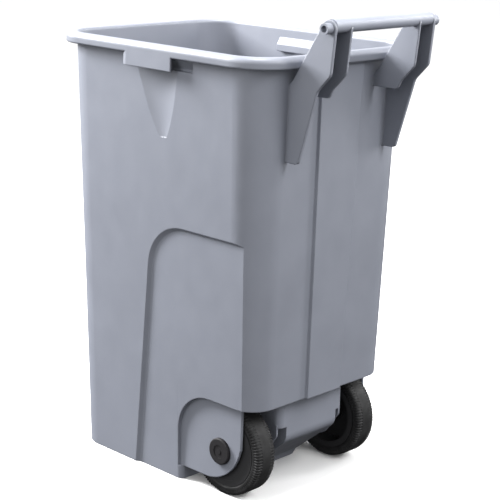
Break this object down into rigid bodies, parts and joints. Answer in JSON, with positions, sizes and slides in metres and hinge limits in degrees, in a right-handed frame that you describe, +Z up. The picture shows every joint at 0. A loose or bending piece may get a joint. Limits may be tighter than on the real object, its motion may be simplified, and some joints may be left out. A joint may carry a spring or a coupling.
{
  "type": "wheeled waste bin",
  "caption": "Tapered open-topped waste bin with rolled rim, side grips, rear push bar between moulded ears, and wheels held in moulded lugs.",
  "frame": {"origin": "on the floor below the centre of the bounding box", "axes": "+Z up, +Y to the rear where the push bar and the wheels are, +X to the bin's left side"},
  "size_m": [0.398, 0.5579, 0.791],
  "materials": {
    "tub_plastic": "satin, lightly textured",
    "bar_plastic": "satin",
    "handle_pin_plastic": "satin",
    "tyre_rubber": "matt",
    "hub_plastic": "satin",
    "pin_steel": "zinc plated",
    "washer_plastic": "smooth",
    "clip_steel": "spring steel",
    "cap_plastic": "satin"
  },
  "bodies": {
    "bin": {"tub": "tub_plastic", "handle_bar": "bar_plastic", "left_handle_pin": "handle_pin_plastic", "left_axle_pin": "pin_steel", "left_outer_washer": "washer_plastic", "left_inner_washer": "washer_plastic", "left_retaining_clip": "clip_steel", "left_axle_cap": "cap_plastic", "right_handle_pin": "handle_pin_plastic", "right_axle_pin": "pin_steel", "right_outer_washer": "washer_plastic", "right_inner_washer": "washer_plastic", "right_retaining_clip": "clip_steel", "right_axle_cap": "cap_plastic"},
    "left_wheel": {"left_tyre": "tyre_rubber", "left_wheel_hub": "hub_plastic"},
    "right_wheel": {"right_tyre": "tyre_rubber", "right_wheel_hub": "hub_plastic"}
  },
  "joints": [
    {"name": "left_wheel_spin", "type": "hinge", "parent": "bin", "child": "left_wheel", "pos_m": [0.126, 0.1045, 0.078], "axis": [1, 0, 0], "continuous": true},
    {"name": "right_wheel_spin", "type": "hinge", "parent": "bin", "child": "right_wheel", "pos_m": [-0.126, 0.1045, 0.078], "axis": [1, 0, 0], "continuous": true}
  ]
}
